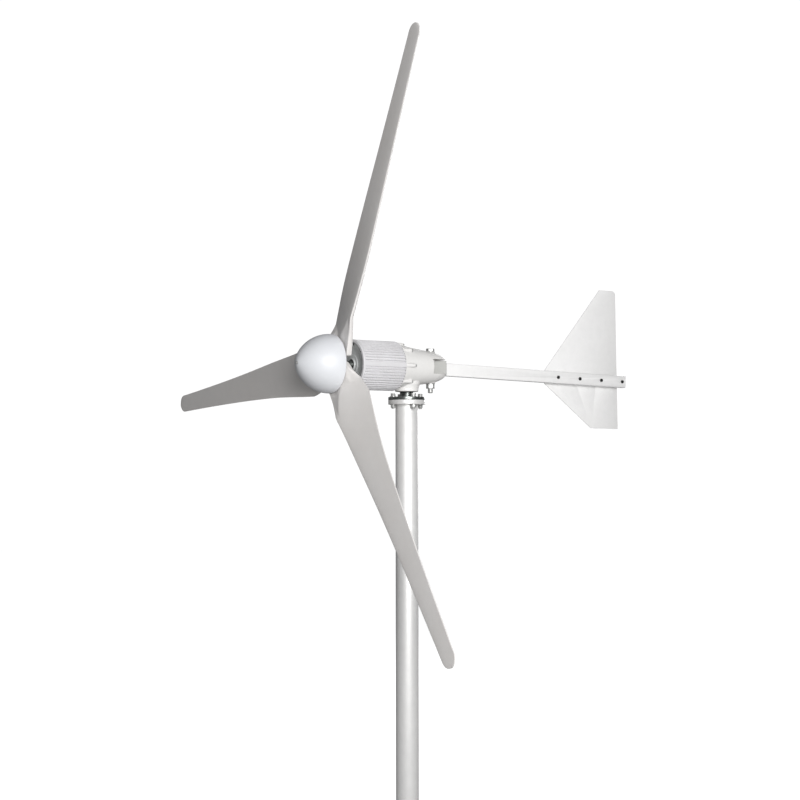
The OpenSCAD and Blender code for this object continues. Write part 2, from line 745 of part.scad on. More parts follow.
// One ring of the blade at radius r
function blade_ring(r) = let(
        s = tip_shrink(r), le = lead_edge(r) * s, te = trail_edge(r) * s,
        w = twist(r), t = thick(r) * (0.3 + 0.7 * s))
    [for (i = [0 : section_points - 1]) let(
        a = -i * 360 / section_points,
        x = (1 - cos(a)) / 2,
        side = sin(a) >= 0 ? 1.7 : -0.3,
        foil_x = le - (le + te) * x,
        foil_y = t * (side * half_thick(x) - 0.2) + sign(side) * thin_edge * x,
        foil = [foil_x * cos(w) + foil_y * sin(w), foil_y * cos(w) - foil_x * sin(w)],
        pad = [(le - te) / 2 + (le + te) / 2 * clip(1.25 * cos(a)), pad_t / 2 * clip(1.9 * sin(a))],
        p = pad + (foil - pad) * foil_share(r, pad[0]))
        [p[0], p[1], r]];

te_corner = te_gap + te_pad / wedge;
le_corner = le_gap + lead_part * chord_max / wedge;
inner_radii = [root_in, te_corner, 52, le_corner, 79, flat_r, 103, crease_r, 121, 132, 144, 157, 170, 184];
outer_radii = [for (i = [0 : outer_stations]) wide_r
    + (tip_r - tip_round - wide_r) * (0.55 * i / outer_stations + 0.45 * pow(i / outer_stations, 2))];
tip_radii = [for (i = [1 : round_stations]) tip_r - tip_round * (1 - sin(90 * i / round_stations))];

module blade(k) color([0.85, 0.84, 0.82])
    translate([0, -rotor_y, hub_h]) rotate([0, blade_turn + k * 120, 0]) difference() {
        skin([for (r = concat(inner_radii, outer_radii, tip_radii)) blade_ring(r)]);
        for (p = blade_bolts_at) translate([p[1], -pad_t, p[0]]) rotate([-90, 0, 0])
            cylinder(r = m8_r, h = 2 * pad_t);
    }

module rotor_core() color([0.35, 0.36, 0.37]) along_rotor(active_front)
    ring(core_bore, rotor_r - magnet_t, active_rear - active_front);

module rotor_magnets() color([0.5, 0.5, 0.52]) along_rotor(active_front)
    ring_of(pole_count, 0) intersection() {
        ring(rotor_r - magnet_t, rotor_r, active_rear - active_front);
        linear_extrude(active_rear - active_front)
            polygon([[0, 0], [rotor_r + 5, -15.5], [rotor_r + 5, 15.5]]);
    }

module front_bearing_inner() color([0.75, 0.76, 0.78]) along_rotor(front_brg_y)
    bearing_inner(front_brg);

module rear_bearing_inner() color([0.75, 0.76, 0.78]) along_rotor(rear_brg_y)
    bearing_inner(rear_brg);

// ------------------------------------------------------------------- tail

// Moves the children to the hinge pin's axis, at hub height
module at_pin() {
    translate([0, pin_y, hub_h]) children();
}

// Lays the children's local Z along the drooping boom, with their Y upright
module along_boom(s = 0) {
    at_pin() translate([0, 0, boom_z]) rotate([-boom_droop, 0, 0])
        translate([0, s, 0]) rotate([-90, 0, 0]) children();
}

module tail_pin() color([0.6, 0.61, 0.62]) at_pin() {
    translate([0, 0, ear_top + pin_washer[1]]) hexagon(m20_hex, 12);
    translate([0, 0, pin_end + 3]) cylinder(r = m20_r, h = ear_top + pin_washer[1] - pin_end - 3);
    translate([0, 0, pin_end]) cylinder(r1 = 7.5, r2 = m20_r, h = 3);
}

module tail_pin_nut() color([0.6, 0.61, 0.62]) at_pin()
    translate([0, 0, ear_bottom - pin_washer[1] - pin_nut_h]) difference() {
        hexagon(m20_hex, pin_nut_h);
        translate([0, 0, -cut]) cylinder(r = m20_r, h = pin_nut_h + 2 * cut);
    }

module tail_pin_washers() color([0.66, 0.67, 0.68]) at_pin() {
    translate([0, 0, ear_top]) ring(m20_r, pin_washer[0], pin_washer[1]);
    translate([0, 0, ear_bottom - pin_washer[1]]) ring(m20_r, pin_washer[0], pin_washer[1]);
    translate([0, 0, slot_bottom]) ring(m20_r, thrust_r, block_bottom - slot_bottom - 0.1);
    translate([0, 0, block_top + 0.1]) ring(m20_r, thrust_r, slot_top - block_top - 0.1);
}

module tail_stop_buffer() color([0.08, 0.08, 0.08]) at_hub()
    translate([slot_side, buffer_y, buffer_z])
        cube([-slot_side - block_w / 2 - 0.3, buffer_l, buffer_h]);

module tail_hinge_block() color([0.77, 0.77, 0.75]) {
    difference() {
        union() {
            at_pin() translate([0, 0, block_bottom])
                cylinder(r = barrel_r, h = block_top - block_bottom);
            translate([0, 0, hub_h + block_bottom]) linear_extrude(block_top - block_bottom)
                translate([0, (pin_y + block_end) / 2]) {
                    soft_rect(block_w, block_end - pin_y, 7);
                    translate([0, -8]) square([block_w, block_end - pin_y - 16], center = true);
                }
            along_boom(tongue_start) translate([0, 0, tongue_len / 2])
                cube([boom_w - 2 * boom_wall, boom_h - 2 * boom_wall, tongue_len], center = true);
        }
        at_pin() translate([0, 0, block_bottom - cut])
            cylinder(r = bush_r, h = block_top - block_bottom + 2 * cut);
    }
}

module tail_bushes() color([0.75, 0.55, 0.28]) at_pin()
    for (z = [block_bottom, block_top - bush_len])
        translate([0, 0, z]) ring(m20_r + 0.05, bush_r, bush_len);

module tail_boom() color([0.93, 0.93, 0.92]) difference() {
    along_boom(boom_start) linear_extrude(boom_len) difference() {
        soft_rect(boom_w, boom_h, 4);
        square([boom_w - 2 * boom_wall, boom_h - 2 * boom_wall], center = true);
    }
    for (s = vane_bolts) along_boom(s) rotate([0, 90, 0])
        translate([0, 0, -boom_w]) cylinder(r = m8_r, h = 2 * boom_w);
}

module boom_end_cap() color([0.9, 0.9, 0.9]) along_boom(boom_start + boom_len) {
    linear_extrude(cap_t) soft_rect(boom_w, boom_h, 4);
    translate([0, 0, -cap_plug]) linear_extrude(cap_plug)
        square([boom_w - 2 * boom_wall, boom_h - 2 * boom_wall], center = true);
}

module tail_vane() color([0.93, 0.93, 0.92]) difference() {
    at_hub() translate([vane_x, 0, 0]) rotate([90, 0, 90]) linear_extrude(vane_t)
        polygon(vane_outline);
    for (s = vane_bolts) along_boom(s) rotate([0, 90, 0])
        translate([0, 0, -boom_w]) cylinder(r = m8_r, h = 2 * boom_w);
}

module tail_vane_bolts() color([0.33, 0.33, 0.33])
    for (s = vane_bolts) along_boom(s) rotate([0, 90, 0]) {
        translate([0, 0, boom_w / 2]) hexagon(m8_hex, m8_head_h);
        translate([0, 0, vane_x - 10]) cylinder(r = m8_r, h = boom_w / 2 - vane_x + 10);
    }

module tail_vane_nuts() color([0.6, 0.61, 0.62])
    for (s = vane_bolts) along_boom(s) rotate([0, 90, 0]) difference() {
        union() {
            translate([0, 0, vane_x - m8_washer_t]) cylinder(r = 9, h = m8_washer_t);
            translate([0, 0, vane_x - m8_washer_t - m8_nut_h]) hexagon(m8_hex, m8_nut_h);
        }
        translate([0, 0, vane_x - 10]) cylinder(r = m8_r, h = 12);
    }

mast_base_flange();
mast_tube();
mast_top_flange();
flange_bolts();
flange_washers();
flange_nuts();
yaw_spindle();
yaw_nut();
slip_ring_drum();
slip_rings();
lower_yaw_bearing_inner();
upper_yaw_bearing_inner();
yaw_bearing_spacer();
yaw_bearing_balls();
nacelle_casting();
casting_bolts();
lower_yaw_bearing_outer();
upper_yaw_bearing_outer();
yaw_seal();
brush_holder();
brushes();
generator_rear_shield();
generator_housing();
stator_core();
stator_windings();
generator_front_cover();
front_cover_screws();
shaft_seal();
front_bearing_outer();
rear_bearing_outer();
tail_pin();
tail_pin_nut();
tail_pin_washers();
tail_stop_buffer();
shaft_bearing_balls();
main_shaft();
hub_key();
hub_spider();
hub_front_plate();
hub_nut();
hub_washer();
blade(0);  // blade_1
blade(1);  // blade_2
blade(2);  // blade_3
blade_bolts();
blade_nuts();
nose_cone();
nose_cone_screw();
rotor_core();
rotor_magnets();
front_bearing_inner();
rear_bearing_inner();
tail_hinge_block();
tail_bushes();
tail_boom();
boom_end_cap();
tail_vane();
tail_vane_bolts();
tail_vane_nuts();
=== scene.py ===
import json
import math

import bmesh
import bpy
from mathutils import Matrix, Vector


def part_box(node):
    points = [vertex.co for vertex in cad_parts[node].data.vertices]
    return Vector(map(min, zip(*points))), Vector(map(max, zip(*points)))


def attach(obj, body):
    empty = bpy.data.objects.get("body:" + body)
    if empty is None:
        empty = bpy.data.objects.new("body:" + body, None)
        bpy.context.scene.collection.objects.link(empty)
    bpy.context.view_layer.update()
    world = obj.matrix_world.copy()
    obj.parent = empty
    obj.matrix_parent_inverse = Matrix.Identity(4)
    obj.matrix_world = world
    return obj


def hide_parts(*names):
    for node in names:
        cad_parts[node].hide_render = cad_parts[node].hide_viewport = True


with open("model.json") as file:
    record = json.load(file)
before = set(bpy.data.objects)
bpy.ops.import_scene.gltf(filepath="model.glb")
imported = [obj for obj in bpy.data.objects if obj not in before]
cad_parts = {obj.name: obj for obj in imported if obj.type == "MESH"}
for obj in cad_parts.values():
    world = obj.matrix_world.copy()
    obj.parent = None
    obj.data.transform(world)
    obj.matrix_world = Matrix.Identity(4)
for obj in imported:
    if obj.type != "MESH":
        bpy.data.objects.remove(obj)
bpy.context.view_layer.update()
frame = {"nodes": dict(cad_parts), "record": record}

MM = 0.001


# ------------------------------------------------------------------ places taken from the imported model

def low(node):
    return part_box(node)[0]


def high(node):
    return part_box(node)[1]


def middle(node):
    return (low(node) + high(node)) / 2


AXIS_Z = middle("hub_front_plate").z
PAD_T = 22 * MM  # thickness of a blade's flat pad, clamped behind the front plate
ROTOR_Y = high("hub_front_plate").y + PAD_T / 2
HOUSING_FRONT = low("generator_housing").y
HOUSING_REAR = high("generator_housing").y
HOUSING_R = high("generator_housing").x
NOSE_TIP = low("nose_cone").y
NOSE_BACK = high("nose_cone").y
NOSE_R = high("nose_cone").x


# ------------------------------------------------------------------ camera, floor and lights

def add_camera():
    """The camera stands 55 degrees round from the rotor's front, a little below the hub."""
    azimuth, turn, pitch, roll = (math.radians(a) for a in (55.30, 0.25, 2.23, -0.09))
    distance, below_hub = 6.055, 0.366
    data = bpy.data.cameras.new("camera")
    data.sensor_width = 36
    data.lens = 69.6
    data.clip_end = 60
    camera = bpy.data.objects.new("camera", data)
    bpy.context.scene.collection.objects.link(camera)
    place = Vector((math.sin(azimuth), -math.cos(azimuth), 0)) * distance
    place.z = AXIS_Z - below_hub
    heading = Matrix.Rotation(turn, 3, "Z") @ Vector((-math.sin(azimuth), math.cos(azimuth), 0))
    side = heading.cross(Vector((0, 0, 1))).normalized()
    ahead = heading * math.cos(pitch) + Vector((0, 0, math.sin(pitch)))
    above = side.cross(ahead)
    right = side * math.cos(roll) + above * math.sin(roll)
    up = above * math.cos(roll) - side * math.sin(roll)
    camera.matrix_world = Matrix.Translation(place) @ Matrix((right, up, -ahead)).transposed().to_4x4()
    bpy.context.scene.camera = camera


def add_softbox(name, towards, power):
    """A square soft light in that direction from the hub, facing it."""
    distance = 6.0
    data = bpy.data.lights.new(name, "AREA")
    data.size = 3.0
    data.energy = power
    light = bpy.data.objects.new(name, data)
    bpy.context.scene.collection.objects.link(light)
    direction = Vector(towards).normalized()
    light.location = Vector((0, 0, AXIS_Z - 0.1)) + direction * distance
    light.rotation_euler = direction.to_track_quat("Z", "Y").to_euler()


def add_world():
    """White to the camera, and a dimmer even fill on the object."""
    world = bpy.data.worlds.new("studio")
    bpy.context.scene.world = world
    world.use_nodes = True
    nodes, links = world.node_tree.nodes, world.node_tree.links
    nodes.clear()
    seen = nodes.new("ShaderNodeBackground")
    seen.inputs["Color"].default_value = (1, 1, 1, 1)
    seen.inputs["Strength"].default_value = 1.05
    fill = nodes.new("ShaderNodeBackground")
    fill.inputs["Color"].default_value = (0.97, 0.98, 1, 1)
    fill.inputs["Strength"].default_value = 0.19
    path = nodes.new("ShaderNodeLightPath")
    mix = nodes.new("ShaderNodeMixShader")
    out = nodes.new("ShaderNodeOutputWorld")
    links.new(path.outputs["Is Camera Ray"], mix.inputs["Fac"])
    links.new(fill.outputs[0], mix.inputs[1])
    links.new(seen.outputs[0], mix.inputs[2])
    links.new(mix.outputs[0], out.inputs["Surface"])


def add_floor():
    """A wide pale floor at the foot of the mast. It glows to the camera alone, so it stays even."""
    mesh = bpy.data.meshes.new("floor")
    bm = bmesh.new()
    bmesh.ops.create_circle(bm, cap_ends=True, radius=20, segments=96)
    bm.to_mesh(mesh)
    bm.free()
    floor = bpy.data.objects.new("floor", mesh)
    bpy.context.scene.collection.objects.link(floor)
    floor.location.z = low("mast_base_flange").z - 0.5 * MM
    material = bpy.data.materials.new("studio_floor")
    material.use_nodes = True
    shader = material.node_tree.nodes["Principled BSDF"]
    shader.inputs["Base Color"].default_value = (0.42, 0.42, 0.42, 1)
    shader.inputs["Roughness"].default_value = 0.9
    shader.inputs["Specular IOR Level"].default_value = 0.1
    nodes, links = material.node_tree.nodes, material.node_tree.links
    glow = nodes.new("ShaderNodeEmission")
    glow.inputs["Strength"].default_value = 0.93
    path = nodes.new("ShaderNodeLightPath")
    dark = nodes.new("ShaderNodeEmission")
    dark.inputs["Strength"].default_value = 0
    pick = nodes.new("ShaderNodeMixShader")
    add = nodes.new("ShaderNodeAddShader")
    links.new(path.outputs["Is Camera Ray"], pick.inputs["Fac"])
    links.new(dark.outputs[0], pick.inputs[1])
    links.new(glow.outputs[0], pick.inputs[2])
    links.new(shader.outputs[0], add.inputs[0])
    links.new(pick.outputs[0], add.inputs[1])
    links.new(add.outputs[0], nodes["Material Output"].inputs["Surface"])
    mesh.materials.append(material)


add_camera()
add_world()
add_floor()
add_softbox("key", (0.88, -0.34, 0.12), 385)
add_softbox("back", (-0.55, 0.83, 0.22), 130)
bpy.context.scene.view_settings.view_transform = "Standard"
bpy.context.scene.view_settings.look = "None"


# ------------------------------------------------------------------ materials

class Finish:
    """One Principled material with procedural detail in the object's own coordinates."""

    def __init__(self, name, colour, rough, metallic=0.0):
        self.material = bpy.data.materials.new("look_" + name)
        self.material.use_nodes = True
        self.tree = self.material.node_tree
        self.shader = self.tree.nodes["Principled BSDF"]
        self.shader.inputs["Metallic"].default_value = metallic
        self.place = self.tree.nodes.new("ShaderNodeTexCoord").outputs["Object"]
        self.base = colour
        self.colour = None
        self.rough = rough
        self.rough_link = None
        self.bump = None

    def noise(self, scale, detail=3, roughness=0.55, stretch=(1, 1, 1)):
        """Noise from 0 to 1; scale is in waves a metre, and stretch draws it out along an axis."""
        mapping = self.tree.nodes.new("ShaderNodeMapping")
        mapping.inputs["Scale"].default_value = stretch
        self.tree.links.new(self.place, mapping.inputs["Vector"])
        node = self.tree.nodes.new("ShaderNodeTexNoise")
        node.inputs["Scale"].default_value = scale
        node.inputs["Detail"].default_value = detail
        node.inputs["Roughness"].default_value = roughness
        self.tree.links.new(mapping.outputs[0], node.inputs["Vector"])
        return node.outputs["Fac"]

    def between(self, value, from_low, from_high, to_low, to_high):
        node = self.tree.nodes.new("ShaderNodeMapRange")
        for socket, number in zip(("From Min", "From Max", "To Min", "To Max"),
                                  (from_low, from_high, to_low, to_high)):
            node.inputs[socket].default_value = number
        self.tree.links.new(value, node.inputs["Value"])
        return node.outputs["Result"]

    def tint(self, amount, colour):
        """Mixes a colour over the present one; amount is a socket from 0 to 1."""
        mix = self.tree.nodes.new("ShaderNodeMix")
        mix.data_type = "RGBA"
        self.tree.links.new(amount, mix.inputs["Factor"])
        if self.colour:
            self.tree.links.new(self.colour, mix.inputs["A"])
        else:
            mix.inputs["A"].default_value = (*self.base, 1)
        mix.inputs["B"].default_value = (*colour, 1)
        self.colour = mix.outputs["Result"]
        return self

    def mottle(self, scale, colour, strength, stretch=(1, 1, 1)):
        """Soft clouds of another colour."""
        return self.tint(self.between(self.noise(scale, 4, 0.6, stretch), 0.35, 0.7, 0, strength), colour)

    def specks(self, scale, colour, share, strength):
        """Small separate specks, such as dust or pits, over a share of the surface."""
        edge = 1 - share
        return self.tint(self.between(self.noise(scale, 2, 0.5), edge, edge + 0.06, 0, strength), colour)

    def edges(self, radius, colour, strength):
        """Wear along the sharp edges, where the rounded normal leaves the true one."""
        soft = self.tree.nodes.new("ShaderNodeBevel")
        soft.samples = 4
        soft.inputs["Radius"].default_value = radius
        true = self.tree.nodes.new("ShaderNodeNewGeometry")
        dot = self.tree.nodes.new("ShaderNodeVectorMath")
        dot.operation = "DOT_PRODUCT"
        self.tree.links.new(soft.outputs[0], dot.inputs[0])
        self.tree.links.new(true.outputs["Normal"], dot.inputs[1])
        return self.tint(self.between(dot.outputs["Value"], 0.97, 0.8, 0, strength), colour)

    def uneven(self, scale, spread, stretch=(1, 1, 1)):
        """Roughness that wanders to both sides of its mean."""
        self.rough_link = self.between(self.noise(scale, 4, 0.6, stretch), 0.3, 0.7,
                                       self.rough - spread, self.rough + spread)
        return self

    def relief(self, scale, depth, stretch=(1, 1, 1), detail=2):
        """A bump of that depth in metres, on top of any earlier one."""
        node = self.tree.nodes.new("ShaderNodeBump")
        node.inputs["Distance"].default_value = depth
        self.tree.links.new(self.noise(scale, detail, 0.5, stretch), node.inputs["Height"])
        if self.bump:
            self.tree.links.new(self.bump, node.inputs["Normal"])
        self.bump = node.outputs["Normal"]
        return self

    def coat(self, weight, rough):
        self.shader.inputs["Coat Weight"].default_value = weight
        self.shader.inputs["Coat Roughness"].default_value = rough
        return self

    def done(self):
        """Joins the colour, the roughness and the bump to the shader."""
        self.tree.links.new(self.colour, self.shader.inputs["Base Color"])
        if self.rough_link:
            self.tree.links.new(self.rough_link, self.shader.inputs["Roughness"])
        else:
            self.shader.inputs["Roughness"].default_value = self.rough
        if self.bump:
            self.tree.links.new(self.bump, self.shader.inputs["Normal"])
        return self.material


def paint(name, colour, rough, dust=(0.52, 0.49, 0.44), metallic=0.0):
    """Sprayed paint: orange peel, slow drift of colour and a trace of dust."""
    return (Finish(name, colour, rough, metallic)
            .mottle(5, dust, 0.06)
            .mottle(38, tuple(c * 0.9 for c in colour), 0.35)
            .specks(420, dust, 0.30, 0.25)
            .uneven(30, 0.07)
            .relief(900, 0.00006)
            .relief(160, 0.00010))


def turned(name, colour, rough, axis):
    """Machined metal with fine rings round an axis."""
    stretch = tuple(22.0 if k == axis else 1.0 for k in range(3))
    return (Finish(name, colour, rough, metallic=1.0)
            .mottle(60, tuple(c * 0.72 for c in colour), 0.5)
            .mottle(14, tuple(c * 0.85 for c in colour), 0.5)
            .uneven(90, 0.08, stretch)
            .relief(120, 0.00005, stretch))


def rough_metal(name, colour, rough, metallic=1.0):
    """Cast, pressed or plated metal with a fine grain."""
    return (Finish(name, colour, rough, metallic)
            .mottle(35, tuple(c * 0.75 for c in colour), 0.5)
            .uneven(70, 0.1)
            .relief(700, 0.00008))


def blade_look():
    """Gel coat: broad faint clouds, specks of dust and tiny pits."""
    return (Finish("blade_composite", (0.765, 0.745, 0.73), 0.44)
            .mottle(2.2, (0.68, 0.645, 0.61), 0.45)
            .mottle(26, (0.68, 0.66, 0.645), 0.28)
            .specks(600, (0.42, 0.38, 0.33), 0.27, 0.4)
            .uneven(18, 0.09)
            .relief(520, 0.00005)
            .relief(42, 0.00022)
            .coat(0.25, 0.2))


def nose_look():
    """Moulded plastic with a slight bluish cast."""
    return (Finish("nose_plastic", (0.70, 0.712, 0.735), 0.46)
            .mottle(9, (0.68, 0.69, 0.72), 0.5)
            .specks(700, (0.55, 0.54, 0.52), 0.27, 0.3)
            .uneven(22, 0.06)
            .relief(700, 0.00004)
            .coat(0.12, 0.3))


def cast_look():
    """Powder coat over a sand casting: the grain shows through, and edges wear to a lighter tone."""
    return (Finish("cast_paint", (0.80, 0.79, 0.775), 0.5)
            .mottle(8, (0.72, 0.70, 0.68), 0.45)
            .mottle(70, (0.70, 0.69, 0.67), 0.3)
            .specks(380, (0.45, 0.42, 0.38), 0.29, 0.35)
            .edges(1.6 * MM, (0.88, 0.87, 0.86), 0.5)
            .uneven(45, 0.08)
            .relief(650, 0.00018, detail=3)
            .relief(110, 0.00025))


def fin_look():
    """Drawn aluminium: its marks run along the fins."""
    return (Finish("fin_aluminium", (0.68, 0.672, 0.685), 0.45)
            .mottle(12, (0.58, 0.57, 0.58), 0.5)
            .specks(420, (0.42, 0.40, 0.38), 0.28, 0.3)
            .edges(0.8 * MM, (0.9, 0.9, 0.91), 0.55)
            .uneven(60, 0.09, (1, 0.1, 1))
            .relief(260, 0.00003, (1, 0.02, 1)))


def cover_look():
    """Bare cast aluminium, blotched by its mould, with a brighter machined edge."""
    return (Finish("cover_grey", (0.56, 0.575, 0.57), 0.46, metallic=0.2)
            .mottle(40, (0.34, 0.355, 0.35), 0.6)
            .mottle(130, (0.66, 0.67, 0.67), 0.5)
            .specks(420, (0.2, 0.2, 0.2), 0.3, 0.4)
            .edges(1.4 * MM, (0.8, 0.8, 0.8), 0.8)
            .uneven(70, 0.1)
            .relief(420, 0.0002, detail=3))


def rubber_look():
    """Black rubber, greyer in patches."""
    return (Finish("seal_rubber", (0.025, 0.025, 0.026), 0.62)
            .mottle(120, (0.06, 0.06, 0.06), 0.6)
            .uneven(90, 0.1)
            .relief(800, 0.0001))


def wire_look():
    """Varnished copper windings."""
    return (Finish("copper_wire", (0.62, 0.27, 0.12), 0.32, metallic=0.8)
            .mottle(160, (0.34, 0.12, 0.05), 0.6)
            .uneven(160, 0.1)
            .relief(320, 0.0006, (1, 3, 1)))


def lamination_look():
    """Stacked steel sheets, seen as fine lines along the axis."""
    return (Finish("lamination", (0.33, 0.33, 0.35), 0.45, metallic=1.0)
            .mottle(20, (0.2, 0.16, 0.13), 0.5)
            .uneven(80, 0.1)
            .relief(60, 0.0002, (0.2, 30, 0.2)))


Y, Z = 1, 2
LOOKS = {
    "mast_paint": paint("mast_paint", (0.85, 0.845, 0.835), 0.5, metallic=0.4).coat(0.1, 0.2),
    "galvanised": rough_metal("galvanised", (0.58, 0.59, 0.60), 0.42).mottle(95, (0.70, 0.71, 0.72), 0.6),
    "flange_steel": rough_metal("flange_steel", (0.80, 0.79, 0.78), 0.4, 0.35)
                    .edges(1.2 * MM, (0.9, 0.9, 0.89), 0.7),
    "zinc_steel": rough_metal("zinc_steel", (0.50, 0.50, 0.49), 0.38, 0.55)
                  .edges(0.6 * MM, (0.75, 0.75, 0.74), 0.6),
    "dark_steel": turned("dark_steel", (0.24, 0.255, 0.245), 0.3, Y),
    "hub_steel": paint("hub_steel", (0.30, 0.31, 0.32), 0.5),
    "bearing_steel": turned("bearing_steel", (0.62, 0.63, 0.65), 0.16, Z),
    "insulator": paint("insulator", (0.16, 0.06, 0.03), 0.45, (0.3, 0.2, 0.15)),
    "slip_brass": turned("slip_brass", (0.72, 0.48, 0.2), 0.25, Z),
    "cast_paint": cast_look(),
    "seal_rubber": rubber_look(),
    "carbon": rough_metal("carbon", (0.03, 0.03, 0.033), 0.5, 0.2),
    "cast_aluminium": rough_metal("cast_aluminium", (0.60, 0.60, 0.61), 0.45),
    "fin_aluminium": fin_look(),
    "lamination": lamination_look(),
    "copper_wire": wire_look(),
    "cover_grey": cover_look(),
    "black_screw": rough_metal("black_screw", (0.02, 0.02, 0.021), 0.4, 0.6),
    "blade_composite": blade_look(),
    "nose_plastic": nose_look(),
    "magnet": rough_metal("magnet", (0.45, 0.45, 0.47), 0.22),
    "hinge_paint": paint("hinge_paint", (0.53, 0.53, 0.51), 0.45).edges(1.2 * MM, (0.7, 0.7, 0.69), 0.5),
    "boom_paint": paint("boom_paint", (0.84, 0.835, 0.83), 0.36).coat(0.2, 0.2),
    "cap_plastic": paint("cap_plastic", (0.78, 0.78, 0.78), 0.5),
    "vane_paint": paint("vane_paint", (0.86, 0.855, 0.85), 0.4).coat(0.2, 0.2),
    "vane_bolt_steel": rough_metal("vane_bolt_steel", (0.09, 0.088, 0.088), 0.4),
}
LOOKS = {slot: look.done() for slot, look in LOOKS.items()}

NODE_SLOT = {}
for node_name, cad in frame["nodes"].items():
    NODE_SLOT[node_name] = cad.data.materials[0].name.split(".")[0]
    cad.material_slots[0].material = LOOKS[NODE_SLOT[node_name]]
NODE_BODY = {node: body for body, nodes in frame["record"]["behaviour"]["bodies"].items() for node in nodes}


# ------------------------------------------------------------------ mesh tools

def add_piece(name, mesh, node, smooth_angle=32):
    """A new piece that stands for a CAD node, with that node's body, slot and look."""
    piece = bpy.data.objects.new(name, mesh)
    bpy.context.scene.collection.objects.link(piece)
    mesh.materials.clear()
    mesh.materials.append(LOOKS[NODE_SLOT[node]])
    mesh.shade_smooth()
    mesh.set_sharp_from_angle(angle=math.radians(smooth_angle))
    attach(piece, NODE_BODY[node])
    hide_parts(node)
    return piece


def mesh_from(bm, name):
    """A mesh of that name from the edited one, with its faces turned outwards."""
    mesh = bpy.data.meshes.new(name)
    bmesh.ops.recalc_face_normals(bm, faces=bm.faces)
    bm.to_mesh(mesh)
    bm.free()
    return mesh


def apply_modifiers(piece):
    """Bakes the modifiers into the mesh."""
    bpy.context.view_layer.update()
    graph = bpy.context.evaluated_depsgraph_get()
    mesh = bpy.data.meshes.new_from_object(piece.evaluated_get(graph))
    piece.modifiers.clear()
    piece.data = mesh
    return mesh


def quarter(steps):
    """Angles from 0 to 90 degrees in equal steps."""
    return [math.pi / 2 * i / steps for i in range(steps + 1)]


def loft(rings, close_ends=True):
    """A skin through rings of points, each ring closed on itself."""
    bm = bmesh.new()
    rows = [[bm.verts.new(p) for p in ring] for ring in rings]
    count = len(rings[0])
    for a, b in zip(rows, rows[1:]):
        for i in range(count):
            bm.faces.new((a[i], a[(i + 1) % count], b[(i + 1) % count], b[i]))
    if close_ends:
        for row, rear in ((rows[0], False), (rows[-1], True)):
            tip = bm.verts.new(sum((v.co for v in row), Vector()) / count)
            for i in range(count):
                pair = (row[i], row[(i + 1) % count])
                bm.faces.new((tip, *(pair if rear else reversed(pair))))
    return bm


def lathe(outline, segments):
    """Turns an outline of (radius, y) round the rotor axis; the outline is closed on itself."""
    rings = []
    for radius, y in outline:
        rings.append([Vector((radius * math.cos(t), y, AXIS_Z + radius * math.sin(t)))
                      for t in (2 * math.pi * i / segments for i in range(segments))])
    return loft(rings + rings[:1], close_ends=False)


def eased(node, radius, segments=2, angle=30):
    """The CAD node's own shape with its edges rounded over."""
    bm = bmesh.new()
    bm.from_mesh(frame["nodes"][node].data)
    bmesh.ops.remove_doubles(bm, verts=bm.verts, dist=0.005 * MM)
    bmesh.ops.dissolve_limit(bm, angle_limit=math.radians(0.5), verts=bm.verts, edges=bm.edges)
    piece = add_piece(node + "_look", mesh_from(bm, node + "_look"), node)
    bevel = piece.modifiers.new("ease", "BEVEL")
    bevel.width = radius
    bevel.segments = segments
    bevel.limit_method = "ANGLE"
    bevel.angle_limit = math.radians(angle)
    mesh = apply_modifiers(piece)
    mesh.shade_smooth()
    mesh.set_sharp_from_angle(angle=math.radians(40))
    return piece


# ------------------------------------------------------------------ blades

# The pitch line runs out from the hub. The leading and the trailing edge lie to its two sides.
ROOT_IN, WIDE_R, TIP_R = 26 * MM, 200 * MM, 1302 * MM
TIP_ROUND = 38 * MM
CHORD_MAX, CHORD_END, CHORD_FADE = 184 * MM, 32 * MM, 800 * MM
TWIST_ROOT, TWIST_TIP, TWIST_FADE = math.radians(18.5), math.radians(4.5), 260 * MM
LE_GAP, TE_GAP = 20 * MM, 1 * MM  # how far each edge keeps from the next blade's share of the hub
LEAD_PART, LEAD_GROWTH, LEAD_GROWTH_RUN = 0.44, 0.04, 300 * MM
TE_PAD, TE_MAX, TE_RUN = 64 * MM, 103 * MM, 164 * MM
FLAT_R, FLAT_W, FLAT_LEAN = 96 * MM, 50 * MM, 1.3
CREASE_R, CREASE_LEAN, CREASE_CURVE = 112 * MM, 0.2, 0.0125 / MM
THICK_SHARE, TIP_THINNING = 0.14, 0.1
FRONT_SHARE, BACK_SHARE, CAMBER_SHIFT = 1.7, -0.3, 0.2
THIN_EDGE = 2.5 * MM
FIRST_TURN = 25


def clip(v):
    return max(-1, min(1, v))


def soft_step(k):
    k = max(0, clip(k))
    return k * k * (3 - 2 * k)


def chord(r):
    """Width of the blade past its widest place."""
    return CHORD_END + (CHORD_MAX - CHORD_END) * math.exp(-(r - WIDE_R) / CHORD_FADE)


def wedge(r):
    """Half the width that a 120 degree share of the hub leaves at radius r."""
    return math.tan(math.radians(60)) * r


def lead_edge(r):
    if r < WIDE_R:
        return min(wedge(r - LE_GAP), LEAD_PART * CHORD_MAX)
    return (LEAD_PART + LEAD_GROWTH * soft_step((r - WIDE_R) / LEAD_GROWTH_RUN)) * chord(r)


def trail_edge(r):
    if r < WIDE_R:
        return min(wedge(r - TE_GAP), TE_MAX - (TE_MAX - TE_PAD) * ((WIDE_R - r) / TE_RUN) ** 1.3)
    return chord(r) - lead_edge(r)


def twist(r):
    return TWIST_TIP + (TWIST_ROOT - TWIST_TIP) * math.exp(-max(0, r - WIDE_R) / TWIST_FADE)


